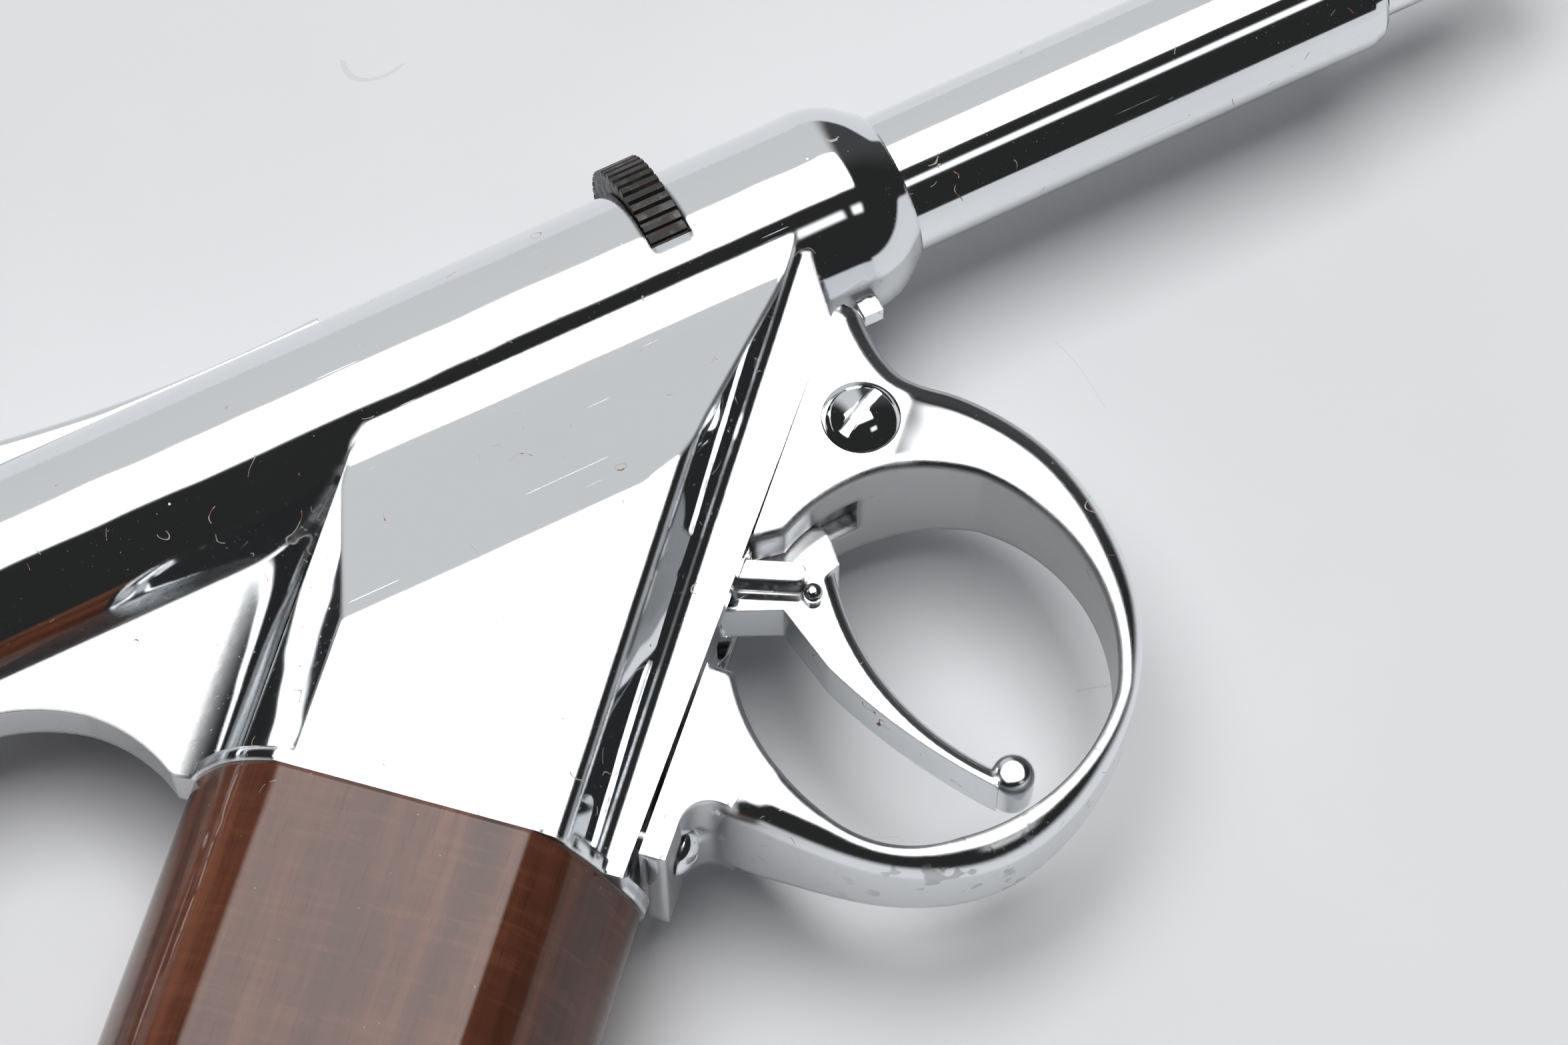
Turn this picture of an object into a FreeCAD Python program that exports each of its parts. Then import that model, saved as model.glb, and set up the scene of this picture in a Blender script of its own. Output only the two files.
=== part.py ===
import FreeCAD, Part
import math
import os

# Trigger-fed dental cartridge syringe, all sizes in mm.
# Design frame: X along the barrel (needle end +X), Y to the top of the instrument, Z to its right
# side. X = 0 is the front of the collar, the barrel axis is Y = Z = 0 and Z = 0 is the mid-plane.
# place() moves a finished solid into the stored frame: it lies on its left side, centred on the table.

V = FreeCAD.Vector
X_AXIS = V(1, 0, 0)
Y_AXIS = V(0, 1, 0)
Z_AXIS = V(0, 0, 1)

# Body tube, collar and barrel
TUBE_R = 10.3
TUBE_BORE_R = 8.2
TUBE_REAR_X = -112.0
SOCKET_X = -12.0
BARREL_R = 7.0
BARREL_FRONT_X = 53.5
LINER_R = 5.3
RUN = 0.04

# Frame and grip: the grip axis runs down and back from the frame
HALF_THICK = 14.0
GRIP_ANGLE = math.radians(226.9)
GRIP_U0 = -21.45
JOINT_V = 76.6
GRIP_LENGTH = 78.0
FACET_TOP = (-9.9, 9.22)
FACET_FOOT = (-23.1, 13.86)
WEB_HALF = 2.7
SEAT_OFFSET = -1.6

# Guard, trigger and its driver
GUARD_HALF = 8.0
GUARD_RIM_R = 2.4
GUARD_SCREW = (-14.5, -24.2)
SEAT_NORMAL = V(1, -1, 0).normalize()
TRIGGER_PIVOT = (-30.0, -26.5)
TRIGGER_HALF = 3.0
BAR_HALF = 5.6
ARM_HALF = 2.4
ARM_TIP = (-31.9, -6.6)
ARM_TIP_R = 1.8
PIN_R = 1.4
PAWL_PIN_X = -41.0
PEG = (-25.6, -36.2)

# Plunger rod, lock wheel and cartridge
ROD_R = 2.9
ROD_FRONT_X = 34.0
ROD_REAR_X = -121.0
RACK_X = (-48.0, 4.0)
RACK_PITCH = 1.5
WHEEL_R = 10.5
WHEEL_Y = 2.5
WHEEL_X = (-24.1, -20.3)
WHEEL_TEETH = 54
JOURNAL_R = 6.5
BALL_X = -22.2
CAM_R = 7.54
CAM_OFFSET = 0.566
BALL_R = 1.0
BALL_Y = -4.35
GLASS_R = 4.3
GLASS_BORE_R = 3.4

# Centre of the whole instrument's box, which becomes the stored origin
CENTRE_X = -37.15
CENTRE_Y = -50.79


def place(shape):
    moved = shape.copy()
    moved.translate(V(-CENTRE_X, -CENTRE_Y, HALF_THICK))
    return moved


def save(name, *solids):
    shape = solids[0] if len(solids) == 1 else Part.makeCompound(list(solids))
    place(shape).exportStep("parts/" + name + ".step")


def grip_point(u, v):
    """A mid-plane point u forward and v down the grip, measured in the grip's own directions."""
    down = V(math.cos(GRIP_ANGLE), math.sin(GRIP_ANGLE), 0)
    forward = V(-down.y, down.x, 0)
    return forward * (u + GRIP_U0) + down * v


def rod(r, x0, x1, y=0.0, z=0.0):
    return Part.makeCylinder(r, x1 - x0, V(x0, y, z), X_AXIS)


def cross_pin(r, x, y, z0, z1):
    return Part.makeCylinder(r, z1 - z0, V(x, y, z0), Z_AXIS)


def box(x0, x1, y0, y1, z0, z1):
    return Part.makeBox(x1 - x0, y1 - y0, z1 - z0, V(x0, y0, z0))


def polygon(points):
    return Part.Face(Part.makePolygon(points + points[:1]))


def plate(points, half):
    """A flat plate about the mid-plane with a straight-sided outline."""
    return polygon([V(x, y, -half) for x, y in points]).extrude(V(0, 0, 2 * half))


def outline(start, moves, z):
    """A face at height z: a move is an end point, a (middle, end) arc, or a longer run for a smooth curve."""
    here = V(start[0], start[1], z)
    edges = []
    for move in moves:
        if isinstance(move[0], tuple) and len(move) > 2:
            points = [here] + [V(x, y, z) for x, y in move]
            curve = Part.BSplineCurve()
            curve.interpolate(points)
            edges.append(curve.toShape())
            end = points[-1]
        elif isinstance(move[0], tuple):
            middle = V(move[0][0], move[0][1], z)
            end = V(move[1][0], move[1][1], z)
            edges.append(Part.Arc(here, middle, end).toShape())
        else:
            end = V(move[0], move[1], z)
            edges.append(Part.LineSegment(here, end).toShape())
        here = end
    first = V(start[0], start[1], z)
    if here.distanceToPoint(first) > 1e-6:
        edges.append(Part.LineSegment(here, first).toShape())
    return Part.Face(Part.Wire(edges))


def turned(points):
    """A solid turned about the barrel axis from (x, radius) points, the first and last on the axis."""
    return outline(points[0], points[1:], 0).revolve(V(0, 0, 0), X_AXIS, 360)


def slab(start, moves, half):
    return outline(start, moves, -half).extrude(V(0, 0, 2 * half))


def swept_section(start, moves, v0, v1):
    """A prism down the grip axis from the (u, z) outline of its right half, mirrored to the left."""
    down = grip_point(0, 1) - grip_point(0, 0)
    forward = grip_point(1, 0) - grip_point(0, 0)
    half = outline(start, moves, 0)
    half.Placement = FreeCAD.Placement(grip_point(0, v0), FreeCAD.Rotation(forward, Z_AXIS, down, "XYZ"))
    solid = half.extrude(down * (v1 - v0))
    return solid.fuse(solid.mirror(V(0, 0, 0), Z_AXIS)).removeSplitter()


def slotted_head(head_r, height, slot):
    """A domed slotted head standing on the origin, its axis +Z."""
    dome_r = (head_r * head_r + height * height) / (2 * height)
    ball = Part.makeSphere(dome_r, V(0, 0, height - dome_r))
    head = ball.common(Part.makeCylinder(head_r, height, V(0, 0, 0), Z_AXIS))
    groove = Part.makeBox(2 * head_r + 1, slot, height, V(-head_r - 0.5, -slot / 2, height * 0.5))
    return head.cut(groove)


def coil(r, wire_r, length, turns):
    """A spring along +Z from the origin."""
    helix = Part.makeHelix(length / turns, length, r)
    wire = Part.Wire(Part.makeCircle(wire_r, V(r, 0, 0), Y_AXIS))
    return Part.Wire(helix).makePipeShell([wire], True, True)


def turned_to(shape, start, direction):
    """Carries a shape built on +Z at the origin to start, pointing along direction."""
    moved = shape.copy()
    moved.Placement = FreeCAD.Placement(start, FreeCAD.Rotation(Z_AXIS, direction))
    return moved


# ---------------------------------------------------------------- the one-piece metal body


def frame_section():
    """Right half of the frame across the grip: web, rear bevel, flat side, rounded ridge and cove."""
    moves = [
        (-60.0, WEB_HALF),
        (-23.4, WEB_HALF),
        ((-18.9, 4.4), (-16.4, 8.6)),
        (-10.6, HALF_THICK),
        (11.5, HALF_THICK),
        (13.3, 13.7),
        ((14.1, 13.35), (14.5, 12.6)),
        (16.6, 8.9),
        ((17.1, 8.2), (17.9, 7.9)),
        (30.0, 7.9),
        (30.0, 0.0),
    ]
    return swept_section((-60.0, 0.0), moves, -40, 110)


def frame_facets():
    """Prism along X: hollow blends from the tube, facets that lean outward, then the flat sides."""
    right = [(-4.08, 9.42), ((-6.97, 8.77), FACET_TOP), FACET_FOOT, ((-23.5, 13.965), (-23.9, HALF_THICK)),
             (-80.0, HALF_THICK), (-80.0, 0.0)]
    half = outline((-1.3, 0.0), [(-1.3, 4.3)] + right, 0)
    half.Placement = FreeCAD.Placement(V(-130, 0, 0), FreeCAD.Rotation(Y_AXIS, Z_AXIS, X_AXIS, "XYZ"))
    solid = half.extrude(V(130, 0, 0))
    return solid.fuse(solid.mirror(V(0, 0, 0), Z_AXIS)).removeSplitter()


def frame_block():
    front_foot = grip_point(19.4, JOINT_V)
    rear_foot = grip_point(-23.0, JOINT_V)
    moves = [
        (-12.2, -12.2 + SEAT_OFFSET),
        (front_foot.x, front_foot.y),
        (rear_foot.x, rear_foot.y),
        ((-89.4, -16.6), (-101.6, -12.2)),
        (-101.6, -3.0),
        (-10.0, -3.0),
    ]
    side = slab((-10.0, -3.0), moves, HALF_THICK)
    return side.common(frame_section()).common(frame_facets())


def grip_prism(spread, v0, v1):
    """The grip's section, two flat wide sides and rounded ends, run down the grip axis."""
    rear = [(-20.7, 3.3), (-19.3, 6.3), (-16.9, 9.9), (-14.3, 12.3), (-11.6, HALF_THICK)]
    front = [(15.7, 10.5), (17.6, 7.6), (19.4, 4.3), (20.6, 1.6), (20.9, 0.0)]
    moves = [
        [(u * spread, z * spread) for u, z in rear],
        (11.4 * spread, HALF_THICK * spread),
        (13.6 * spread, 12.8 * spread),
        [(u * spread, z * spread) for u, z in front],
    ]
    solid = swept_section((-21.1 * spread, 0.0), moves, v0, v1)
    return solid.common(box(-170, 20, -150, 20, -HALF_THICK, HALF_THICK))


def rear_lobe():
    """The rounded hand stop that drops behind the arch."""
    moves = [
        ((-106.8, -12.9), (-111.0, -15.4)),
        (-115.0, -19.2),
        ((-118.9, -20.4), (-120.6, -16.8)),
        (-119.4, -3.0),
        (-98.0, -3.0),
    ]
    lobe = slab((-98.0, -12.4), [(-101.6, -12.2)] + moves, 5.0)
    edges = [e for e in lobe.Edges if abs(e.BoundBox.ZLength) < 0.01 and e.BoundBox.YMax < -2.9]
    return lobe.makeFillet(2.4, edges)


def guard_tongue(gap):
    """The frame's tongue that the guard's upper flange straddles; gap grows it into the slot."""
    return plate([(-16.5, -12.0 + gap), (-26.0 - gap, -21.5), (-19.5, -27.6 - gap), (-13.5, -27.8 - gap),
                  (-11.0 + gap, -24.5), (-11.0 + gap, -13.4)], 3.0 + gap)


def body_outer():
    collar = [(-6.2, TUBE_R), ((-2.7, 9.95), (-0.5, 8.75)), (0.9, 7.75), (0.9, 0)]
    tube = turned([(TUBE_REAR_X, 0), (TUBE_REAR_X, TUBE_R)] + collar)
    ferrule = grip_prism(1.017, JOINT_V - 1.3, JOINT_V)
    lobe = rear_lobe().cut(box(-130, TUBE_REAR_X, 0.9 - TUBE_R, 0, -6, 6))
    tongue = guard_tongue(0.0)
    web_lip = slab((-84.0, -10), [(-101.6, -10), (-101.6, -12.2), ((-89.4, -16.6), (-84.0, -24.6))], WEB_HALF)
    return tube.fuse([frame_block(), ferrule, lobe, tongue, web_lip]).removeSplitter()


def body_casting():
    body = body_outer()
    bore = rod(TUBE_BORE_R, -130, SOCKET_X)
    socket = rod(BARREL_R + RUN, SOCKET_X, 5)
    wheel_slot = rod(WHEEL_R + 0.3, WHEEL_X[0] - 0.2, WHEEL_X[1] + 0.2, WHEEL_Y)
    spring_room = rod(2.5, -30, -18.4, -18.5)
    pivot = cross_pin(PIN_R + 0.01, TRIGGER_PIVOT[0], TRIGGER_PIVOT[1], -12, 7.5)
    top = grip_point(0, JOINT_V - 14)
    down = grip_point(0, 1) - grip_point(0, 0)
    bolt_hole = Part.makeCylinder(2.6, 20, top, down)
    side_hole = cross_pin(2.05, GUARD_SCREW[0], GUARD_SCREW[1], -9, 9)
    tab_hole = turned_to(Part.makeCylinder(1.3, 12, V(0, 0, -2), Z_AXIS), tab_point(0), SEAT_NORMAL * -1)
    lock_hole = Part.makeCylinder(1.1, 6, V(-6.6, -6, 0), Y_AXIS * -1)
    rooms = [root_room(), bar_room(), arm_room(), spring_room]
    holes = [pivot, bolt_hole, side_hole, tab_hole, lock_hole, rib_screw_hole(0.85)]
    return body.cut([bore, socket, wheel_slot] + rooms + holes)


def rear_cap():
    dome = turned([(TUBE_REAR_X, 0), (TUBE_REAR_X, TUBE_R), (-114.0, TUBE_R), ((-116.9, 9.1), (-118.0, 6.2)),
                   (-118.0, 0)])
    plug = rod(TUBE_BORE_R - 0.02, TUBE_REAR_X, -104)
    cap = dome.fuse(plug).removeSplitter()
    clear_lobe = box(-122, TUBE_REAR_X + 0.02, -30, 0.95 - TUBE_R, -6, 6)
    return cap.cut([rod(ROD_R + RUN, -130, -100), rod(6.4, -109.5, -103), clear_lobe])


def rear_cap_bush():
    return rod(6.38, -109.4, -104.2).cut(rod(ROD_R + RUN, -115, -100))


def rib_screw_hole(r):
    return Part.makeCylinder(r, 8, V(-96, 6, 0), Y_AXIS)


def top_rib():
    """Low rib on the tube's back, rising to the rear, held by one countersunk screw."""
    side = slab((-54.0, 8.0), [(-54.0, 10.7), ((-78.0, 11.3), (-92.0, 13.6)), ((-101.0, 13.9), (-108.0, 11.0)),
                               (-108.0, 8.0)], 3.6)
    edges = [e for e in side.Edges if abs(e.BoundBox.ZLength) < 0.01 and e.BoundBox.YMax > 10.9]
    rib = side.makeFillet(1.1, edges).cut(rod(TUBE_R + 0.01, -120, -40))
    head = Part.makeCone(2.1, 0.9, 1.3, V(-96, 13.0, 0), Y_AXIS * -1)
    return rib.cut([rib_screw_hole(0.9), head, Part.makeCylinder(2.1, 3, V(-96, 13.0, 0), Y_AXIS)])


def rib_screw():
    head = Part.makeCone(2.05, 0.85, 1.3, V(-96, 13.0, 0), Y_AXIS * -1)
    shank = Part.makeCylinder(0.85, 4.4, V(-96, 8.6, 0), Y_AXIS)
    groove = box(-98.5, -93.5, 12.5, 14, -0.3, 0.3)
    return head.fuse(shank).removeSplitter().cut(groove)


# ---------------------------------------------------------------- guard


def tab_point(out):
    """A point on the guard's lower tab, out from the seat along its normal."""
    return V(-48.6, -48.6 + SEAT_OFFSET, 0) + SEAT_NORMAL * out


def guard_blank():
    """The guard's outside as one smooth loop, closed behind its seat, with both rims rolled over."""
    points = [(-9.1, -14.5), (-9.2, -19.6), (-8.4, -22.0), (-6.0, -24.2), (-2.6, -27.9), (0.5, -33.6),
              (1.8, -43.0), (0.1, -51.6), (-4.6, -58.9), (-12.8, -65.0), (-22.5, -67.3), (-32.6, -63.4),
              (-39.6, -56.6), (-44.0, -51.0), (-46.0, -44.0), (-30.0, -22.0), (-16.0, -9.0)]
    curve = Part.BSplineCurve()
    curve.interpolate([V(x, y, -GUARD_HALF) for x, y in points], PeriodicFlag=True)
    loop = Part.Face(Part.Wire([curve.toShape()])).extrude(V(0, 0, 2 * GUARD_HALF)).common(guard_taper())
    rims = [edge for edge in loop.Edges if abs(edge.BoundBox.ZMin + edge.BoundBox.ZMax) > 0.5]
    return loop.makeFillet(GUARD_RIM_R, rims)


def guard_tab():
    """The foot at the guard's lower end that lies on the frame's seat."""
    moves = [
        (-40.5, -52.0),
        (-42.4, -53.0),
        ((-44.4, -51.3), (-46.9, -51.9)),
        (-49.8, -54.8),
        (-51.55, -53.15),
    ]
    return slab((-38.0, -39.6), moves, GUARD_HALF)


def outside_seat():
    return plate([(-11.2, -12.8), (-60.0, -61.6), (-60.0, -90.0), (20.0, -90.0), (20.0, -12.8)], 20)


def guard_window():
    moves = [
        (-26.0, -31.3),
        ((-16.0, -29.7), (-7.0, -33.8)),
        ((-2.2, -45.5), (-5.6, -57.2)),
        ((-14.4, -63.0), (-25.1, -63.7)),
        ((-32.2, -60.6), (-35.4, -55.9)),
        ((-37.2, -48.5), (-36.2, -41.4)),
        (-38.6, -38.8),
        (-30.2, -30.4),
    ]
    return slab((-30.2, -30.4), moves, 20)


def guard_taper():
    """Thins the ring away from the seat: flat by the seat, then curving in to a slimmer bow."""
    half = GUARD_HALF
    profile = outline((-8, half), [(9, half), ((20, 6.3), (40, 5.0)), (40, -5.0), ((20, -6.3), (9, -half)),
                                   (-8, -half)], 0)
    along = V(-1, -1, 0).normalize()
    turn = FreeCAD.Rotation(SEAT_NORMAL, Z_AXIS, along * -1, "XYZ")
    profile.Placement = FreeCAD.Placement(V(0, SEAT_OFFSET, 0), turn)
    return profile.extrude(along * 90)


def window_edges(ring):
    """The rims of the finger loop on both sides of the guard."""
    edges = []
    for edge in ring.Edges:
        bounds = edge.BoundBox
        inside = bounds.XMin > -39.5 and bounds.XMax < -2.0 and bounds.YMin > -64.2 and bounds.YMax < -29.0
        if inside and abs(edge.CenterOfMass.z) > 3:
            edges.append(edge)
    return edges


def trigger_guard():
    ring = guard_blank().cut(guard_window())
    ring = ring.makeFillet(0.8, window_edges(ring)).fuse(guard_tab()).common(outside_seat())
    slot = guard_tongue(RUN)
    screw_hole = cross_pin(2.05, GUARD_SCREW[0], GUARD_SCREW[1], -9, 9)
    tab_hole = turned_to(Part.makeCylinder(1.35, 12, V(0, 0, -4), Z_AXIS), tab_point(0), SEAT_NORMAL)
    tab_seat = turned_to(Part.makeCylinder(2.4, 3.0, V(0, 0, 0), Z_AXIS), tab_point(2.6), SEAT_NORMAL)
    slot_mouth = box(-21.5, -17.4, -31.6, -27.9, -3.04, 3.04)
    return ring.cut([slot, slot_mouth, screw_hole, tab_hole, tab_seat, root_room()])


def guard_side_screw():
    head = slotted_head(3.7, 1.9, 1.0)
    head.rotate(V(0, 0, 0), Z_AXIS, 27)
    head.translate(V(GUARD_SCREW[0], GUARD_SCREW[1], GUARD_HALF + 0.01))
    shank = cross_pin(2.0, GUARD_SCREW[0], GUARD_SCREW[1], -7.6, GUARD_HALF + 0.2)
    return head.fuse(shank).removeSplitter()


def guard_front_screw():
    head = slotted_head(2.3, 1.3, 0.6)
    shank = Part.makeCylinder(1.25, 9, V(0, 0, -8.8), Z_AXIS)
    return turned_to(head.fuse(shank).removeSplitter(), tab_point(2.62), SEAT_NORMAL)


# ---------------------------------------------------------------- trigger and feed


def lever_root():
    """Mid-plane outline of the lever's thick root above its blade."""
    return outline((-21.4, -30.6), [(-22.0, -34.5), (-28.6, -36.2), (-34.0, -33.6), (-34.6, -30.2),
                                    ((-33.6, -24.4), (-30.0, -22.4)), ((-26.6, -24.2), (-26.2, -28.4))], 0)


def lever_arm():
    x, y = TRIGGER_PIVOT
    tx, ty = ARM_TIP
    return outline((x - 2.6, y), [(tx - 1.6, ty), (tx + 1.6, ty), (x + 2.6, y)], 0)


def lever_bar():
    return outline((-32.6, -29.6), [(-25.9, -33.6), ((-25.6, -34.9), (-26.7, -35.2)), (-33.6, -31.2)], 0)


def thick(face, half):
    """The solid of a mid-plane face, half thick each way."""
    face.translate(V(0, 0, -half))
    return face.extrude(V(0, 0, 2 * half))


def root_room():
    """What the lever's root sweeps between the cheeks, from rest to a full pull."""
    return plate([(-20.9, -30.2), (-25.8, -28.2), (-25.8, -23.8), (-28.2, -21.9), (-31.6, -21.9), (-34.2, -23.4),
                  (-35.7, -28.5), (-35.7, -38.0), (-21.0, -38.0)], TRIGGER_HALF + 0.3)


def bar_room():
    return plate([(-24.9, -32.6), (-32.4, -28.6), (-33.6, -28.6), (-35.0, -30.2), (-35.0, -40.0),
                  (-24.9, -40.0)], BAR_HALF + 0.3)


def arm_room():
    return plate([(-33.4, -24.0), (-34.3, -5.5), (-26.1, -5.5), (-26.6, -24.0)], ARM_HALF + 0.3)


def trigger():
    moves = [
        ((-22.9, -36.0), (-23.7, -42.0), (-22.5, -50.5), (-18.6, -58.4)),
        (-19.4, -60.4),
        ((-24.2, -52.0), (-27.6, -43.0)),
        (-28.6, -36.2),
        (-28.6, -32.0),
    ]
    blade = slab((-21.4, -30.6), moves, TRIGGER_HALF)
    front = [edge for edge in blade.Edges if edge.BoundBox.ZLength < 0.01 and edge.BoundBox.XMin > -24.5
             and edge.Length > 5]
    blade = blade.makeFillet(1.5, front)
    tip = cross_pin(2.0, -17.5, -59.7, -TRIGGER_HALF - 0.3, TRIGGER_HALF + 0.3)
    tip = tip.makeFillet(1.3, [e for e in tip.Edges if e.BoundBox.ZLength < 0.01])
    end = cross_pin(ARM_TIP_R, ARM_TIP[0], ARM_TIP[1], -ARM_HALF, ARM_HALF)
    parts = [tip, end, thick(lever_root(), TRIGGER_HALF), thick(lever_arm(), ARM_HALF), thick(lever_bar(), BAR_HALF)]
    lever = blade.fuse(parts).removeSplitter()
    peg_hole = cross_pin(0.92, PEG[0], PEG[1], -9, 9)
    pivot = cross_pin(PIN_R + RUN, TRIGGER_PIVOT[0], TRIGGER_PIVOT[1], -9, 9)
    return lever.cut([pivot, peg_hole])


def trigger_peg():
    pin = cross_pin(0.9, PEG[0], PEG[1], -4.6, 4.6)
    return pin.makeFillet(0.8, [e for e in pin.Edges if e.BoundBox.ZLength < 0.01])


def trigger_pin():
    return cross_pin(PIN_R, TRIGGER_PIVOT[0], TRIGGER_PIVOT[1], -9.0, 7.4)


def trigger_spring():
    spring = coil(1.95, 0.33, 9.1, 7)
    return turned_to(spring, V(-28.0, -18.5, 0), X_AXIS)


def driver():
    block = box(PAWL_PIN_X - 2.5, -28.6, -7.0, -3.35, -3.9, 3.9)
    pocket = box(ARM_TIP[0] - ARM_TIP_R - 0.12, ARM_TIP[0] + ARM_TIP_R + 0.12, -8, -3, -ARM_HALF - 0.15,
                 ARM_HALF + 0.15)
    pawl_slot = box(PAWL_PIN_X - 4, PAWL_PIN_X + 6.9, -8, -3, -1.55, 1.55)
    pin = cross_pin(0.8, PAWL_PIN_X, -5.2, -5, 5)
    return block.cut([pocket, pawl_slot, pin])


def pawl():
    points = [(-1.2, -6.2), (0.8, -6.2), (5.4, -4.6), (5.7, -3.15), (4.6, -3.15), (3.8, -3.9), (-0.4, -4.1),
              (-1.2, -4.6)]
    body = plate([(PAWL_PIN_X + x, y) for x, y in points], 1.5)
    return body.cut(cross_pin(0.8 + RUN, PAWL_PIN_X, -5.2, -5, 5))


def pawl_pin():
    return cross_pin(0.79, PAWL_PIN_X, -5.2, -3.8, 3.8)


def pawl_spring():
    spring = coil(0.75, 0.18, 1.2, 3)
    return turned_to(spring, V(PAWL_PIN_X + 3.1, -6.85, 0), Y_AXIS)


def driver_rail():
    """Floor plate in the tube that the driver slides on and that carries the pawl spring."""
    rail = rod(TUBE_BORE_R - 0.02, -48, -24.7).common(box(-48, -24.7, -9, -7.04, -6, 6))
    return rail.cut(box(ARM_TIP[0] - 2.6, ARM_TIP[0] + 6.4, -10, -5, -ARM_HALF - 0.6, ARM_HALF + 0.6))


# ---------------------------------------------------------------- plunger rod and its lock


def rod_hole(x0, x1):
    return rod(ROD_R + RUN, x0, x1)


def plunger_rod():
    shaft = rod(ROD_R, ROD_REAR_X, ROD_FRONT_X)
    teeth = []
    x = RACK_X[0]
    while x < RACK_X[1]:
        tooth = polygon([V(x, -1.95, -4), V(x, -3.2, -4), V(x + RACK_PITCH * 0.8, -3.2, -4)])
        teeth.append(tooth.extrude(V(0, 0, 8)))
        x += RACK_PITCH
    stud = rod(1.5, ROD_FRONT_X, ROD_FRONT_X + 2)
    return shaft.cut(teeth).fuse(stud).removeSplitter()


def rod_piston():
    return rod(3.2, ROD_FRONT_X + 0.02, ROD_FRONT_X + 3.2).cut(rod(1.52, 30, ROD_FRONT_X + 2.05))


def harpoon():
    x = ROD_FRONT_X + 3.2
    barb = turned([(x, 0), (x, 0.7), (x + 1.4, 0.7), (x + 1.4, 1.2), (x + 2.4, 0.7), (x + 2.4, 1.2), (x + 3.8, 0)])
    return barb


def cartridge_stopper():
    x = ROD_FRONT_X + 3.25
    plug = rod(GLASS_BORE_R - 0.03, x, x + 5.2)
    room = turned([(x - 1, 0), (x - 1, 0.75), (x + 1.3, 0.75), (x + 1.3, 1.25), (x + 2.4, 1.25), (x + 2.5, 1.25),
                   (x + 3.9, 0)])
    return plug.cut(room)


def thumb_ring():
    hoop = Part.makeTorus(10.2, 2.1, V(-138.0, 0, 0), Z_AXIS)
    shank = turned([(-128.4, 0), (-128.4, 3.2), (-126.0, 4.2), (-121.5, 4.2), (-120.3, 3.4), (-120.3, 0)])
    return hoop.fuse(shank).removeSplitter().cut(rod(ROD_R + 0.01, -124.6, -118))


def ring_nut():
    """Hexagonal lock nut between the thumb ring and the rear cap."""
    corners = [V(-120.25, 4.6 * math.cos(math.pi * k / 3), 4.6 * math.sin(math.pi * k / 3)) for k in range(6)]
    return polygon(corners).extrude(V(1.7, 0, 0)).cut(rod(ROD_R + 0.01, -125, -115))


def rod_guide():
    """Disc in the tube that steadies the rod behind the driver."""
    return rod(TUBE_BORE_R - 0.02, -72, -66).cut(rod_hole(-80, -60))


def hub_front():
    """Front bush with the offset journal that the lock wheel turns on."""
    flange = rod(TUBE_BORE_R - 0.02, WHEEL_X[1] + RUN, SOCKET_X - 0.02)
    journal = rod(JOURNAL_R, WHEEL_X[0] - 0.15, WHEEL_X[1] + 0.15, WHEEL_Y)
    ball_hole = Part.makeCylinder(BALL_R + 0.05, 8, V(BALL_X, 0, 0), Y_AXIS * -1)
    return flange.fuse(journal).removeSplitter().cut([rod_hole(-30, 0), ball_hole])


def lock_wheel():
    blank = rod(WHEEL_R, WHEEL_X[0], WHEEL_X[1], WHEEL_Y).cut(rod(JOURNAL_R + RUN, -30, -10, WHEEL_Y))
    grooves = []
    half = math.pi * WHEEL_R / WHEEL_TEETH * 0.55
    for k in range(WHEEL_TEETH):
        turn = 360.0 * k / WHEEL_TEETH
        notch = polygon([V(-30, WHEEL_R - 0.5, -half * 0.35), V(-30, WHEEL_R - 0.5, half * 0.35),
                         V(-30, WHEEL_R + 0.3, half), V(-30, WHEEL_R + 0.3, -half)]).extrude(V(20, 0, 0))
        notch.translate(V(0, WHEEL_Y, 0))
        notch.rotate(V(0, WHEEL_Y, 0), X_AXIS, turn)
        grooves.append(notch)
    return blank.cut(grooves + [cam_pocket()])


def cam_pocket():
    """Pocket in the wheel's bore whose floor rises 0.4 mm against the ball in an eighth of a turn."""
    lean = math.radians(45)
    centre_y = WHEEL_Y - CAM_OFFSET * math.cos(lean)
    pocket = rod(CAM_R, WHEEL_X[0] - 1, WHEEL_X[1] + 1, centre_y, CAM_OFFSET * math.sin(lean))
    corners = [V(-30, WHEEL_Y, 0)]
    for degrees in (-12, 20, 55):
        turn = math.radians(degrees)
        corners.append(V(-30, WHEEL_Y - 14 * math.cos(turn), -14 * math.sin(turn)))
    return pocket.common(polygon(corners).extrude(V(20, 0, 0)))


def lock_ball():
    return Part.makeSphere(BALL_R, V(BALL_X, BALL_Y, 0))


# ---------------------------------------------------------------- barrel and cartridge


def barrel_tube():
    shell = turned([(SOCKET_X + 0.02, 0), (SOCKET_X + 0.02, BARREL_R), (51.6, BARREL_R), (52.7, 6.75),
                    (53.3, 6.2), (BARREL_FRONT_X, 5.5), (BARREL_FRONT_X, 0)])
    groove = rod(BARREL_R + 1, -6.6, -5.2).cut(rod(5.85, -10, 0))
    return shell.cut([rod(LINER_R, -20, 49.4), rod(4.0, 40, 60), groove])


def barrel_ring():
    return Part.makeTorus(6.43, 0.56, V(-5.9, 0, 0), X_AXIS)


def barrel_lock_screw():
    """Small square-headed screw under the collar that bears on the barrel."""
    shank = Part.makeCylinder(1.05, 3.3, V(-6.6, -10.3, 0), Y_AXIS)
    head = box(-7.6, -5.6, -12.0, -10.28, -1.0, 1.0)
    return shank.fuse(head).removeSplitter()


def cartridge_liner():
    return rod(LINER_R - RUN, SOCKET_X + 0.1, 49.3).cut(rod(GLASS_R + 0.12, -20, 60))


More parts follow.
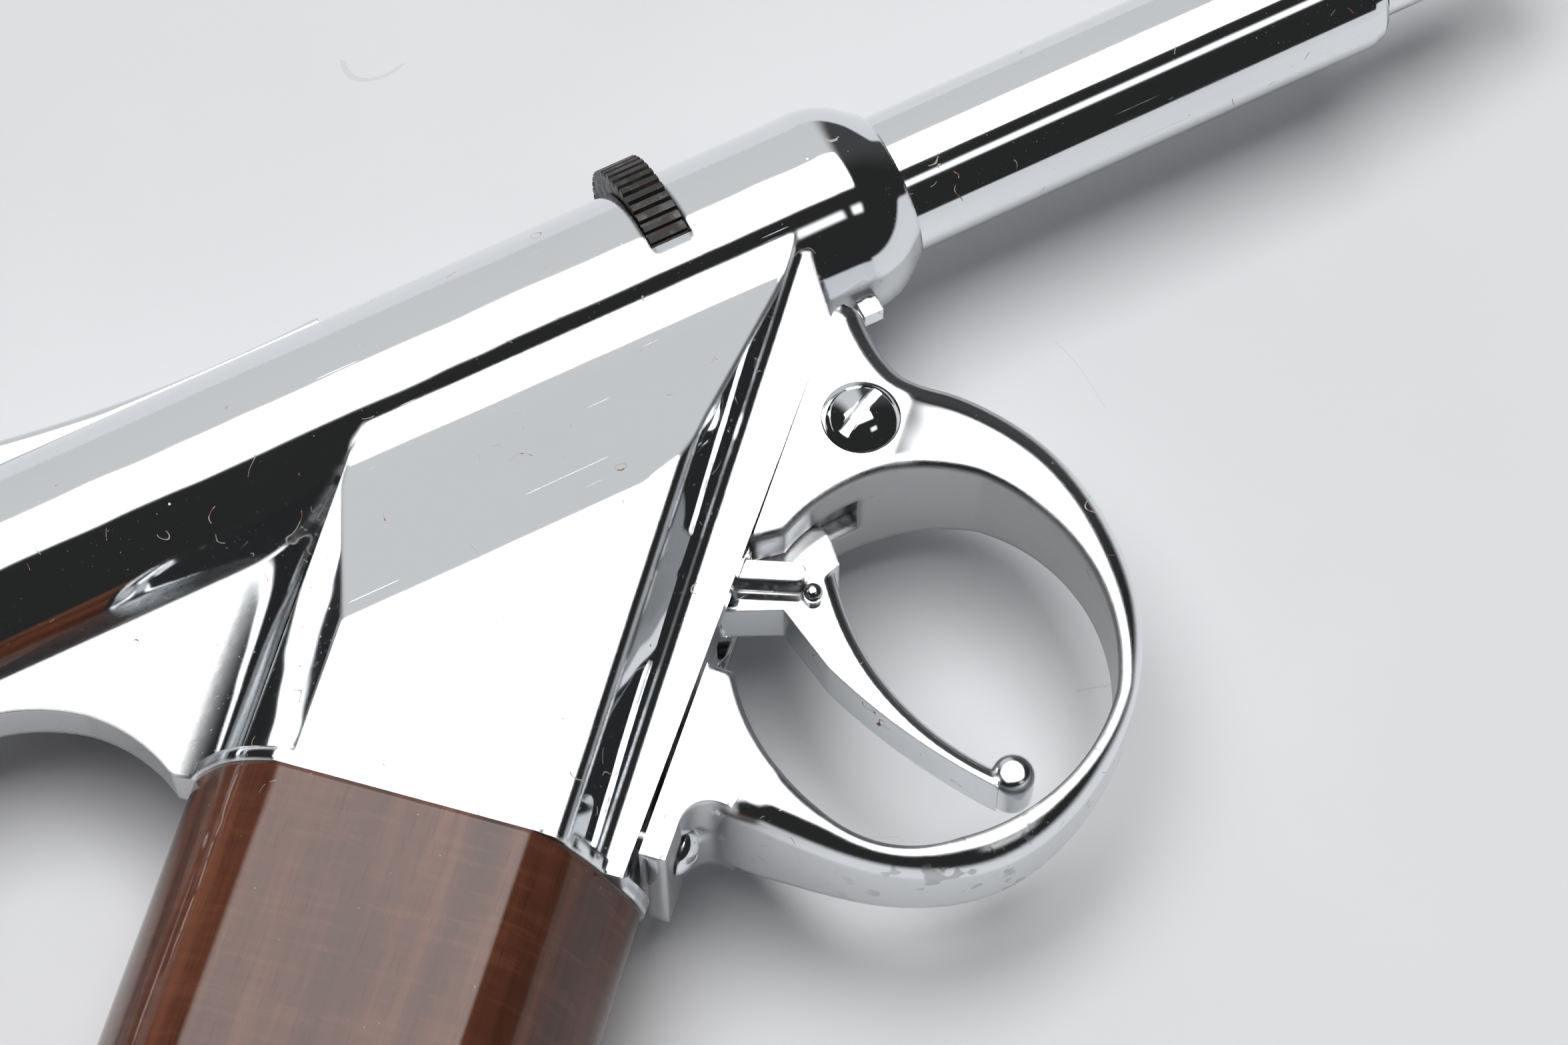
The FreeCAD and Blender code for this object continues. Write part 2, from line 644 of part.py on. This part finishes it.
def cartridge_glass():
    outer = turned([(-11.8, 0), (-11.8, GLASS_R), (43.6, GLASS_R), (45.0, 2.9), (47.6, 2.9), (47.6, 0)])
    inner = turned([(-20, 0), (-20, GLASS_BORE_R), (43.2, GLASS_BORE_R), (44.6, 1.9), (50, 1.9), (50, 0)])
    return outer.cut(inner)


def cartridge_cap():
    cap = rod(3.7, 45.3, 49.0).cut([rod(2.93, 40, 48.3), rod(1.6, 40, 60)])
    return cap


def cartridge_diaphragm():
    return rod(2.9, 47.62, 48.28)


def nose_adaptor():
    body = turned([(49.6, 0), (49.6, 3.97), (BARREL_FRONT_X + 0.62, 3.97), (BARREL_FRONT_X + 0.62, 4.85),
                   (65.2, 4.85), (66.0, 4.3), (68.5, 3.6), (68.5, 2.9), (75.4, 2.9), (76.0, 2.4), (76.0, 0)])
    return body.cut([rod(0.8, 40, 80), rod(1.7, 49, 56)])


def nose_washer():
    return rod(4.84, BARREL_FRONT_X + 0.02, BARREL_FRONT_X + 0.6).cut(rod(3.99, 50, 60))


# ---------------------------------------------------------------- grip


def grip_shell():
    shell = grip_prism(1.0, JOINT_V + 0.02, JOINT_V + GRIP_LENGTH)
    down = grip_point(0, 1) - grip_point(0, 0)
    return shell.cut(Part.makeCylinder(3.2, GRIP_LENGTH + 4, grip_point(0, JOINT_V - 1), down))


def butt_cap():
    v = JOINT_V + GRIP_LENGTH + 0.02
    cap = grip_prism(1.03, v, v + 4.0)
    down = grip_point(0, 1) - grip_point(0, 0)
    hole = Part.makeCylinder(3.2, 20, grip_point(0, v - 2), down)
    seat = Part.makeCylinder(6.1, 10, grip_point(0, v + 1.6), down)
    return cap.cut([hole, seat])


def grip_bolt():
    down = grip_point(0, 1) - grip_point(0, 0)
    start = grip_point(0, JOINT_V - 12)
    reach = GRIP_LENGTH + 12 + 2.6
    shank = Part.makeCylinder(3.0, reach - 12.2, grip_point(0, JOINT_V + 0.2), down)
    thread = Part.makeCylinder(2.55, 12.4, start, down)
    head = slotted_head(5.2, 2.4, 1.2)
    head = turned_to(head, grip_point(0, JOINT_V + GRIP_LENGTH + 2.6), down)
    return shank.fuse([thread, head]).removeSplitter()


def grip_washer():
    down = grip_point(0, 1) - grip_point(0, 0)
    start = grip_point(0, JOINT_V + GRIP_LENGTH + 1.64)
    disc = Part.makeCylinder(6.0, 0.9, start, down)
    return disc.cut(Part.makeCylinder(3.1, 3, start - down, down))


NODES = [
    body_casting, rear_cap, rear_cap_bush, top_rib, rib_screw, trigger_guard, guard_side_screw,
    guard_front_screw, trigger, trigger_peg, trigger_pin, trigger_spring, driver, driver_rail, pawl, pawl_pin,
    pawl_spring, plunger_rod, rod_piston, harpoon, cartridge_stopper, thumb_ring, ring_nut, rod_guide,
    hub_front, lock_wheel, lock_ball, barrel_tube, barrel_ring, barrel_lock_screw, cartridge_liner,
    cartridge_glass, cartridge_cap, cartridge_diaphragm, nose_adaptor, nose_washer, grip_shell, butt_cap,
    grip_bolt, grip_washer,
]

os.makedirs("parts", exist_ok=True)
for node in NODES:
    save(node.__name__, node())
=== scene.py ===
import math

import bpy
from mathutils import Matrix, Vector


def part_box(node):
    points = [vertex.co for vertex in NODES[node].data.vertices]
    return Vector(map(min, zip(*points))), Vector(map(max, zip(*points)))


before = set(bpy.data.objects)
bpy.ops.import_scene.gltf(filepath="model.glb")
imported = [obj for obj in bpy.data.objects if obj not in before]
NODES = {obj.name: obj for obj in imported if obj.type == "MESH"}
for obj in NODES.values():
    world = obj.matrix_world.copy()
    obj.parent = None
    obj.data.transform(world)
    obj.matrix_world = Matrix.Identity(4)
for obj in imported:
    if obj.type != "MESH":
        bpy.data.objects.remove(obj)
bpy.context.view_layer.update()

MM = 0.001

# The CAD's design frame (mm, barrel axis on X, zero at the collar) seen from the row frame (m).
RING = Vector(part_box("barrel_ring")[0]).lerp(Vector(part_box("barrel_ring")[1]), 0.5)
ORIGIN = RING + Vector((5.9 * MM, 0, 0))


def at(x, y, z=0.0):
    """A design point in millimetres as a point of the row frame in metres."""
    return ORIGIN + Vector((x, y, z)) * MM


GRIP_TURN = math.radians(226.9)
GRIP_DOWN = Vector((math.cos(GRIP_TURN), math.sin(GRIP_TURN), 0))
GRIP_FORWARD = Vector((-GRIP_DOWN.y, GRIP_DOWN.x, 0))

# ------------------------------------------------------------------ camera and light

ELEVATION = math.radians(65.0)
AZIMUTH = math.radians(-27.1)
CAMERA_AT = (-0.064566, -0.128351, 0.380128)
LENS = 100
SENSOR = 36

cam_data = bpy.data.cameras.new("camera")
cam_data.lens = LENS
cam_data.sensor_width = SENSOR
cam_data.clip_start = 0.01
camera = bpy.data.objects.new("camera", cam_data)
bpy.context.scene.collection.objects.link(camera)
bpy.context.scene.camera = camera
forward = Vector((-math.sin(AZIMUTH) * math.cos(ELEVATION), math.cos(AZIMUTH) * math.cos(ELEVATION),
                  -math.sin(ELEVATION)))
right = Vector((math.cos(AZIMUTH), math.sin(AZIMUTH), 0))
up = right.cross(forward)
camera.matrix_world = Matrix((
    (right.x, up.x, -forward.x, CAMERA_AT[0]),
    (right.y, up.y, -forward.y, CAMERA_AT[1]),
    (right.z, up.z, -forward.z, CAMERA_AT[2]),
    (0, 0, 0, 1),
))
bpy.context.scene.view_settings.view_transform = "Standard"


class Graph:
    """Short ways to add and join shader nodes in one material or world."""

    def __init__(self, tree):
        self.tree = tree
        self.nodes = tree.nodes
        self.nodes.clear()

    def node(self, kind, **inputs):
        made = self.nodes.new("ShaderNode" + kind)
        for name, value in inputs.items():
            self.put(made.inputs[name.replace("_", " ")], value)
        return made

    def put(self, socket, value):
        if isinstance(value, bpy.types.NodeSocket):
            self.tree.links.new(value, socket)
        else:
            socket.default_value = value

    def math(self, operation, a, b=0.0, c=0.0):
        made = self.nodes.new("ShaderNodeMath")
        made.operation = operation
        for socket, value in zip(made.inputs, (a, b, c)):
            self.put(socket, value)
        return made.outputs[0]

    def dot(self, vector, axis):
        made = self.nodes.new("ShaderNodeVectorMath")
        made.operation = "DOT_PRODUCT"
        self.put(made.inputs[0], vector)
        self.put(made.inputs[1], axis)
        return made.outputs["Value"]

    def step(self, value, low, high, to_low=0.0, to_high=1.0):
        """A smooth step from to_low at low to to_high at high."""
        made = self.nodes.new("ShaderNodeMapRange")
        made.interpolation_type = "SMOOTHSTEP"
        for socket, number in zip(made.inputs, (value, low, high, to_low, to_high)):
            self.put(socket, number)
        return made.outputs[0]

    def noise(self, vector, scale, detail=3.0, roughness=0.5):
        made = self.node("TexNoise", Vector=vector, Scale=scale, Detail=detail, Roughness=roughness)
        return made.outputs[0]

    def place(self, vector, scale=(1, 1, 1), turn=(0, 0, 0), shift=(0, 0, 0)):
        made = self.node("Mapping", Vector=vector)
        made.inputs["Location"].default_value = shift
        made.inputs["Rotation"].default_value = turn
        made.inputs["Scale"].default_value = scale
        return made.outputs[0]

    def mix(self, factor, a, b):
        made = self.nodes.new("ShaderNodeMix")
        made.data_type = "RGBA"
        for name, value in (("Factor_Float", factor), ("A_Color", a), ("B_Color", b)):
            socket = next(s for s in made.inputs if s.identifier == name)
            self.put(socket, (*value, 1) if isinstance(value, tuple) else value)
        return next(s for s in made.outputs if s.identifier == "Result_Color")

    def most(self, *values):
        result = values[0]
        for value in values[1:]:
            result = self.math("MAXIMUM", result, value)
        return result


def light_the_room():
    world = bpy.data.worlds.new("studio")
    bpy.context.scene.world = world
    world.use_nodes = True
    g = Graph(world.node_tree)
    direction = g.node("TexCoord").outputs["Generated"]
    x, y, z = g.node("SeparateXYZ", Vector=direction).outputs
    height = g.math("MAXIMUM", z, 0.02)
    px = g.math("DIVIDE", x, height)
    py = g.math("DIVIDE", y, height)
    above = g.step(z, 0.02, 0.1)

    def box(x0, x1, y0, y1, soft):
        """A rectangle of light on a ceiling one unit up, with soft edges."""
        wide = g.math("MULTIPLY", g.step(px, x0 - soft, x0 + soft), g.step(px, x1 - soft, x1 + soft, 1.0, 0.0))
        deep = g.math("MULTIPLY", g.step(py, y0 - soft, y0 + soft), g.step(py, y1 - soft, y1 + soft, 1.0, 0.0))
        return g.math("MULTIPLY", g.math("MULTIPLY", wide, deep), above)

    # a big box light overhead, brighter to +X; a small strip in front; a pale sweep behind the object
    overhead = box(-0.55, 0.49, -0.16, 0.66, 0.04)
    strip = box(0.22, 0.56, -0.78, -0.56, 0.05)
    sweep = g.math("MULTIPLY", g.step(y, 0.1, 0.5), g.step(z, -0.2, 0.0))
    across = g.math("MULTIPLY", g.step(x, -0.45, -0.05), g.step(x, 0.30, 0.50, 1.0, 0.06))
    sweep = g.math("MULTIPLY", sweep, across)
    bright = g.math("MULTIPLY_ADD", g.step(px, -0.35, 0.35), 2.9, 2.6)
    glow = g.math("MULTIPLY_ADD", overhead, bright, 0.022)
    glow = g.math("MULTIPLY_ADD", strip, 1.3, glow)
    glow = g.math("MULTIPLY_ADD", sweep, 0.62, glow)
    colour = g.mix(g.step(z, 0.0, 1.0), (0.975, 0.985, 1.0), (1.0, 1.0, 1.0))
    back = g.node("Background", Color=colour, Strength=glow)
    out = g.node("OutputWorld")
    g.put(out.inputs["Surface"], back.outputs[0])


light_the_room()


def build_material(name, fill):
    made = bpy.data.materials.new(name)
    made.use_nodes = True
    g = Graph(made.node_tree)
    shader = g.node("BsdfPrincipled")
    out = g.node("OutputMaterial")
    g.put(out.inputs["Surface"], shader.outputs[0])
    fill(g, shader)
    return made


def coordinates(g):
    return g.node("TexCoord").outputs["Object"]


def bump(g, height, distance, normal=None):
    made = g.node("Bump", Height=height, Distance=distance)
    if normal is not None:
        g.put(made.inputs["Normal"], normal)
    return made.outputs[0]


def speckle(g, where, size_mm, share, dot):
    """Scattered round dots, and a random number for each; share says how many places have one."""
    cells = g.node("TexVoronoi", Vector=where, Scale=1000.0 / size_mm)
    pick = g.node("SeparateColor", Color=cells.outputs["Color"])
    chosen = g.math("LESS_THAN", pick.outputs[0], share)
    radius = g.math("MULTIPLY_ADD", pick.outputs[1], dot * 0.7, dot * 0.3)
    inside = g.math("LESS_THAN", cells.outputs["Distance"], radius)
    return g.math("MULTIPLY", chosen, inside), pick.outputs[2]


def hairs(g, where, scale, width, share):
    """Short thin curved threads: pieces of a noise's contour lines."""
    field = g.noise(where, scale, 1.0)
    line = g.math("LESS_THAN", g.math("ABSOLUTE", g.math("SUBTRACT", field, 0.5)), width)
    elsewhere = g.place(where, shift=(0.3, 0.1, 0.7))
    piece = g.math("GREATER_THAN", g.noise(elsewhere, scale * 1.7, 1.0), 1.0 - share)
    return g.math("MULTIPLY", line, piece)


def scratches(g, where, turn, spacing_mm, share):
    """Fine straight scratches that run along one direction."""
    lie = g.place(where, scale=(30, 1000 / spacing_mm, 1000 / spacing_mm), turn=(0, 0, turn))
    lines = g.noise(lie, 1.0, 2.0, 0.6)
    patch = g.noise(g.place(where, shift=(turn, 0, 0)), 90, 2.0)
    fine = g.step(lines, 0.70, 0.76)
    return g.math("MULTIPLY", fine, g.step(patch, 0.60 - share, 0.75 - share))


PALE_DUST = (0.50, 0.47, 0.44)
RED_DUST = (0.34, 0.10, 0.06)
# painted shade: the near-black brown laid into the corners and crevices of the chrome
PAINTED_SHADE_COLOUR = (0.055, 0.035, 0.022)


def chrome(name, rough=0.035, wave=0.4, dust=0.35, painted_corner_shade=0.0, round_mm=0.5, pits=0.0, satin=None,
           tint=(0.86, 0.88, 0.90)):
    """Polished plate with hand-polish waves, fine scratches, dust, pits, and painted shade that darkens its
    corners.
    """

    def fill(g, shader):
        where = coordinates(g)
        edges = g.nodes.new("ShaderNodeBevel")
        edges.samples = 6
        edges.inputs["Radius"].default_value = round_mm * MM
        normal = bump(g, g.noise(where, 60, 2.0, 0.45), wave * 0.00022, edges.outputs[0])
        lines = g.most(scratches(g, where, 0.5, 0.16, 0.10), scratches(g, where, 2.1, 0.2, 0.06))
        smudge = g.step(g.noise(where, 55, 4.0, 0.6), 0.5, 0.75)
        film = g.noise(where, 900, 2.0)
        roughness = g.math("MULTIPLY_ADD", smudge, 0.05, rough)
        roughness = g.math("MULTIPLY_ADD", lines, 0.16, roughness)
        colour = g.mix(g.math("MULTIPLY", smudge, 0.10), tint, (0.70, 0.70, 0.70))
        height = g.math("MULTIPLY", lines, -0.4)
        if satin is not None:
            dull = satin(g, where)
            roughness = g.math("MULTIPLY_ADD", dull, g.math("MULTIPLY_ADD", film, 0.14, 0.26), roughness)
            colour = g.mix(dull, colour, (0.50, 0.51, 0.515))
            height = g.math("MULTIPLY_ADD", g.math("MULTIPLY", dull, film), 0.8, height)
        if pits:
            holes, _ = speckle(g, where, 1.3, pits, 0.10)
            height = g.math("SUBTRACT", height, holes)
            roughness = g.math("MULTIPLY_ADD", holes, 0.3, roughness)
        motes, kind = speckle(g, where, 0.75, dust, 0.085)
        fine, _ = speckle(g, g.place(where, shift=(0.013, 0.02, 0.01)), 0.36, dust, 0.10)
        drift = g.step(g.noise(where, 42, 2.0), 0.38, 0.62)
        dirt = g.most(g.math("MULTIPLY", g.math("MAXIMUM", motes, g.math("MULTIPLY", fine, 0.7)), drift),
                      hairs(g, where, 210, 0.0032, 0.36))
        shade = g.mix(g.math("GREATER_THAN", kind, 0.86), PALE_DUST, RED_DUST)
        # Painted shade: corners and crevices found by ambient occlusion are darkened toward a near-black
        # brown, in patches, and made less metallic. From here on, dirt carries this painted shade as well as
        # the dust.
        if painted_corner_shade:
            near = g.node("AmbientOcclusion", Distance=1.6 * MM)
            near.samples = 6
            corner = g.step(near.outputs["AO"], 0.25, 0.72, 1.0, 0.0)
            patchy = g.step(g.noise(where, 380, 3.0, 0.65), 0.42, 0.60)
            painted_shade_mask = g.math("MULTIPLY", g.math("MULTIPLY", corner, patchy), painted_corner_shade)
            shade = g.mix(painted_shade_mask, shade, PAINTED_SHADE_COLOUR)
            dirt = g.math("MAXIMUM", dirt, painted_shade_mask)
        colour = g.mix(dirt, colour, shade)
        g.put(shader.inputs["Base Color"], colour)
        g.put(shader.inputs["Metallic"], g.math("SUBTRACT", 1.0, dirt))
        g.put(shader.inputs["Roughness"], g.math("MULTIPLY_ADD", dirt, 0.6, roughness))
        g.put(shader.inputs["Normal"], bump(g, height, 0.00002, normal))

    return build_material(name, fill)


def satin_web(g, where):
    """The thin web behind the grip keeps a satin casting finish."""
    z = g.math("ABSOLUTE", g.math("SUBTRACT", g.node("SeparateXYZ", Vector=where).outputs[2], ORIGIN.z))
    return g.math("MULTIPLY", g.step(z, 2.85 * MM, 3.4 * MM, 1.0, 0.0), 0.75)


def satin_loop(g, where):
    """The inside of the guard loop was never polished, and its lower outside is dulled in spots."""
    middle = at(-21, -47)
    reach = g.nodes.new("ShaderNodeVectorMath")
    reach.operation = "SUBTRACT"
    g.put(reach.inputs[0], tuple(middle))
    g.put(reach.inputs[1], where)
    inward = g.nodes.new("ShaderNodeVectorMath")
    inward.operation = "NORMALIZE"
    g.put(inward.inputs[0], reach.outputs[0])
    facing = g.dot(g.node("TexCoord").outputs["Normal"], inward.outputs[0])
    inside = g.step(facing, 0.35, 0.55)
    low = g.step(g.node("SeparateXYZ", Vector=where).outputs[1], at(0, -58).y, at(0, -66).y)
    spots = g.step(g.noise(where, 420, 2.0), 0.60, 0.66)
    return g.math("MAXIMUM", inside, g.math("MULTIPLY", g.math("MULTIPLY", low, spots), 0.8))


def steel(name, tint=(0.46, 0.46, 0.47), rough=0.28):
    def fill(g, shader):
        where = coordinates(g)
        grain = g.noise(g.place(where, scale=(60, 1600, 1600)), 1.0, 3.0)
        stain = g.step(g.noise(where, 260, 3.0), 0.50, 0.70)
        g.put(shader.inputs["Base Color"], g.mix(g.math("MULTIPLY", stain, 0.55), tint, (0.20, 0.15, 0.11)))
        shader.inputs["Metallic"].default_value = 1.0
        g.put(shader.inputs["Roughness"], g.math("MULTIPLY_ADD", grain, 0.2, rough - 0.1))
        g.put(shader.inputs["Normal"], bump(g, grain, 0.00001))

    return build_material(name, fill)


def wood(name):
    """Lacquered red-brown wood, its grain down the grip and a fine ripple across it."""

    def fill(g, shader):
        where = coordinates(g)
        lie = g.place(where, turn=(0, 0, -GRIP_TURN))
        bend = g.noise(lie, 45, 2.0)
        warp = g.nodes.new("ShaderNodeVectorMath")
        warp.operation = "MULTIPLY_ADD"
        g.put(warp.inputs[0], (0.0012, 0.0012, 0.0012))
        spread = g.nodes.new("ShaderNodeCombineXYZ")
        for socket in spread.inputs:
            g.put(socket, bend)
        g.put(warp.inputs[1], spread.outputs[0])
        g.put(warp.inputs[2], lie)
        bent = warp.outputs[0]
        bands = g.noise(g.place(bent, scale=(18, 230, 230)), 1.0, 4.0, 0.55)
        pores = g.noise(g.place(bent, scale=(220, 3200, 3200)), 1.0, 2.0, 0.6)
        ripple = g.noise(g.place(bent, scale=(1100, 130, 130)), 1.0, 3.0, 0.6)
        cloud = g.noise(lie, 60, 2.0)
        dark = (0.060, 0.019, 0.010)
        mid = (0.155, 0.052, 0.028)
        light = (0.27, 0.105, 0.058)
        colour = g.mix(g.step(bands, 0.30, 0.70), dark, mid)
        colour = g.mix(g.math("MULTIPLY", g.step(bands, 0.52, 0.78), 0.6), colour, light)
        colour = g.mix(g.math("MULTIPLY", g.step(ripple, 0.50, 0.68), 0.16), colour, light)
        colour = g.mix(g.math("MULTIPLY", g.step(ripple, 0.50, 0.34), 0.16), colour, dark)
        colour = g.mix(g.math("MULTIPLY", g.step(pores, 0.60, 0.70), 0.40), colour, (0.04, 0.013, 0.008))
        colour = g.mix(g.math("MULTIPLY", g.step(cloud, 0.45, 0.7), 0.25), colour, dark)
        # one hairline crack runs down the rear of the right side from the frame
        flat = g.node("SeparateXYZ", Vector=lie)
        centre = Matrix.Rotation(-GRIP_TURN, 3, "Z") @ at(-79.4, -30.2)
        wander = g.math("MULTIPLY_ADD", g.noise(g.place(lie, scale=(140, 1, 1)), 1.0, 3.0), 1.4 * MM, centre.y)
        off = g.math("ABSOLUTE", g.math("SUBTRACT", flat.outputs[1], wander))
        split = g.math("MULTIPLY", g.step(off, 0.05 * MM, 0.12 * MM, 1.0, 0.0),
                       g.step(g.noise(lie, 500, 2.0), 0.35, 0.5))
        run = g.step(flat.outputs[0], centre.x + 17 * MM, centre.x + 21 * MM, 1.0, 0.0)
        above = g.math("GREATER_THAN", flat.outputs[2], ORIGIN.z)
        split = g.math("MULTIPLY", split, g.math("MULTIPLY", run, above))
        colour = g.mix(g.math("MULTIPLY", split, 0.75), colour, (0.42, 0.30, 0.25))
        dust, _ = speckle(g, where, 1.1, 0.22, 0.08)
        threads = hairs(g, where, 190, 0.003, 0.28)
        dirt = g.math("MAXIMUM", dust, threads)
        colour = g.mix(g.math("MULTIPLY", dirt, 0.7), colour, (0.5, 0.42, 0.38))
        edges = g.nodes.new("ShaderNodeBevel")
        edges.samples = 6
        edges.inputs["Radius"].default_value = 0.7 * MM
        skin = bump(g, g.noise(where, 240, 2.0), 0.00001, edges.outputs[0])
        g.put(shader.inputs["Base Color"], colour)
        g.put(shader.inputs["Roughness"], g.math("MULTIPLY_ADD", pores, 0.2, 0.34))
        shader.inputs["Coat Weight"].default_value = 1.0
        shader.inputs["Coat IOR"].default_value = 1.40
        shader.inputs["Specular IOR Level"].default_value = 0.1
        g.put(shader.inputs["Coat Roughness"], g.math("MULTIPLY_ADD", g.noise(where, 90, 3.0), 0.07, 0.02))
        g.put(shader.inputs["Coat Normal"], skin)
        g.put(shader.inputs["Normal"], bump(g, bands, 0.00002, edges.outputs[0]))

    return build_material(name, fill)


def black_wheel(name):
    def fill(g, shader):
        where = coordinates(g)
        near = g.node("AmbientOcclusion", Distance=1.2 * MM)
        near.samples = 6
        low = g.step(near.outputs["AO"], 0.45, 0.85, 1.0, 0.0)
        patch = g.step(g.noise(where, 520, 4.0, 0.65), 0.42, 0.62)
        rust = g.math("MULTIPLY", low, patch)
        worn = g.step(g.noise(where, 900, 3.0), 0.56, 0.66)
        base = g.mix(g.math("MULTIPLY", worn, 0.5), (0.022, 0.022, 0.023), (0.12, 0.115, 0.11))
        g.put(shader.inputs["Base Color"], g.mix(g.math("MULTIPLY", rust, 0.8), base, (0.10, 0.052, 0.030)))
        g.put(shader.inputs["Metallic"], g.math("MULTIPLY", worn, 0.4))
        g.put(shader.inputs["Roughness"], g.math("MULTIPLY_ADD", patch, 0.25, 0.38))
        g.put(shader.inputs["Normal"], bump(g, g.noise(where, 2600, 3.0), 0.00004))

    return build_material(name, fill)


def plain(name, tint, rough, grain_mm=0.4, metallic=0.0, transmission=0.0, depth=0.00001):
    """A simple moulded, turned or drawn surface, with mottled colour and fine grain."""

    def fill(g, shader):
        where = coordinates(g)
        grain = g.noise(where, 1000 / grain_mm, 3.0)
        patch = g.noise(where, 140, 3.0)
        darker = tuple(c * 0.72 for c in tint)
        g.put(shader.inputs["Base Color"], g.mix(g.step(patch, 0.3, 0.7), darker, tint))
        shader.inputs["Metallic"].default_value = metallic
        shader.inputs["Transmission Weight"].default_value = transmission
        g.put(shader.inputs["Roughness"], g.math("MULTIPLY_ADD", grain, 0.15, rough - 0.07))
        g.put(shader.inputs["Normal"], bump(g, grain, depth))

    return build_material(name, fill)


# ------------------------------------------------------------------ a material for every CAD node

# in each chrome() call below, the corner setting gives how strongly painted shade darkens its corners and
# crevices
body_metal = chrome("chrome_body", wave=1.0, pits=0.18, satin=satin_web, round_mm=0.7, painted_corner_shade=0.35)
cap_metal = chrome("chrome_cap", round_mm=0.4, painted_corner_shade=0.5)
rib_metal = chrome("chrome_rib", round_mm=0.5, painted_corner_shade=0.5)
guard_metal = chrome("chrome_guard", rough=0.05, pits=0.4, satin=satin_loop, round_mm=1.2, painted_corner_shade=0.7, wave=0.6)
screw_metal = chrome("chrome_screw", rough=0.05, painted_corner_shade=1.0, round_mm=0.25, wave=0.3)
trigger_metal = chrome("chrome_trigger", rough=0.07, pits=0.4, painted_corner_shade=0.9, round_mm=0.6, wave=0.7)
barrel_metal = chrome("chrome_barrel", rough=0.055, dust=0.75, wave=0.25, round_mm=0.3, painted_corner_shade=0.4)
small_steel = steel("steel_small")
working_steel = steel("steel_working", (0.40, 0.40, 0.41), 0.24)

CHOSEN = {
    body_metal: ["body_casting"],
    cap_metal: ["rear_cap", "thumb_ring", "ring_nut", "butt_cap"],
    rib_metal: ["top_rib"],
    guard_metal: ["trigger_guard"],
    screw_metal: ["guard_side_screw", "guard_front_screw", "trigger_peg", "barrel_lock_screw"],
    trigger_metal: ["trigger"],
    barrel_metal: ["barrel_tube", "nose_adaptor"],
    small_steel: ["rib_screw", "trigger_pin", "trigger_spring", "pawl_pin", "pawl_spring", "lock_ball",
                  "grip_bolt", "grip_washer"],
    working_steel: ["driver", "driver_rail", "pawl", "plunger_rod", "rod_piston", "harpoon"],
    plain("brass_bush", (0.62, 0.43, 0.17), 0.30, 0.25, metallic=1.0): [
        "rear_cap_bush", "rod_guide", "hub_front"],
    black_wheel("wheel_oxide"): ["lock_wheel"],
    plain("rubber_stopper", (0.26, 0.27, 0.29), 0.60, 0.3): ["cartridge_stopper"],
    plain("rubber_seal", (0.03, 0.03, 0.03), 0.55, 0.3): [
        "barrel_ring", "cartridge_diaphragm", "nose_washer"],
    plain("plastic_liner", (0.82, 0.82, 0.79), 0.38, 0.5): ["cartridge_liner"],
    plain("glass_cartridge", (0.92, 0.96, 0.95), 0.10, 2.0, transmission=0.95, depth=0.000002): [
        "cartridge_glass"],
    plain("aluminium_cap", (0.74, 0.74, 0.75), 0.30, 0.3, metallic=1.0): ["cartridge_cap"],
    wood("wood_grip"): ["grip_shell"],
}
for material, names in CHOSEN.items():
    for name in names:
        for material_slot in NODES[name].material_slots:
            material_slot.material = material

# ------------------------------------------------------------------ floor


FLOOR_HALF = 1.6


def make_floor():
    half = FLOOR_HALF
    mesh = bpy.data.meshes.new("floor")
    corners = [(-half, -half, 0), (half, -half, 0), (half, half, 0), (-half, half, 0)]
    mesh.from_pydata(corners, [], [(0, 1, 2, 3)])
    floor = bpy.data.objects.new("floor", mesh)
    bpy.context.scene.collection.objects.link(floor)

    def fill(g, shader):
        where = coordinates(g)
        marks = hairs(g, where, 26, 0.0011, 0.34)
        faint = g.step(g.noise(where, 14, 4.0), 0.4, 0.7)
        specks, _ = speckle(g, where, 9.0, 0.25, 0.03)
        colour = g.mix(faint, (0.79, 0.797, 0.815), (0.82, 0.827, 0.845))
        colour = g.mix(g.math("MULTIPLY", marks, 0.22), colour, (0.45, 0.43, 0.42))
        colour = g.mix(g.math("MULTIPLY", specks, 0.5), colour, (0.30, 0.28, 0.27))
        g.put(shader.inputs["Base Color"], colour)
        shader.inputs["Roughness"].default_value = 0.75
        g.put(shader.inputs["Normal"], bump(g, g.noise(where, 900, 2.0), 0.00002))

    mesh.materials.append(build_material("floor_paper", fill))


make_floor()
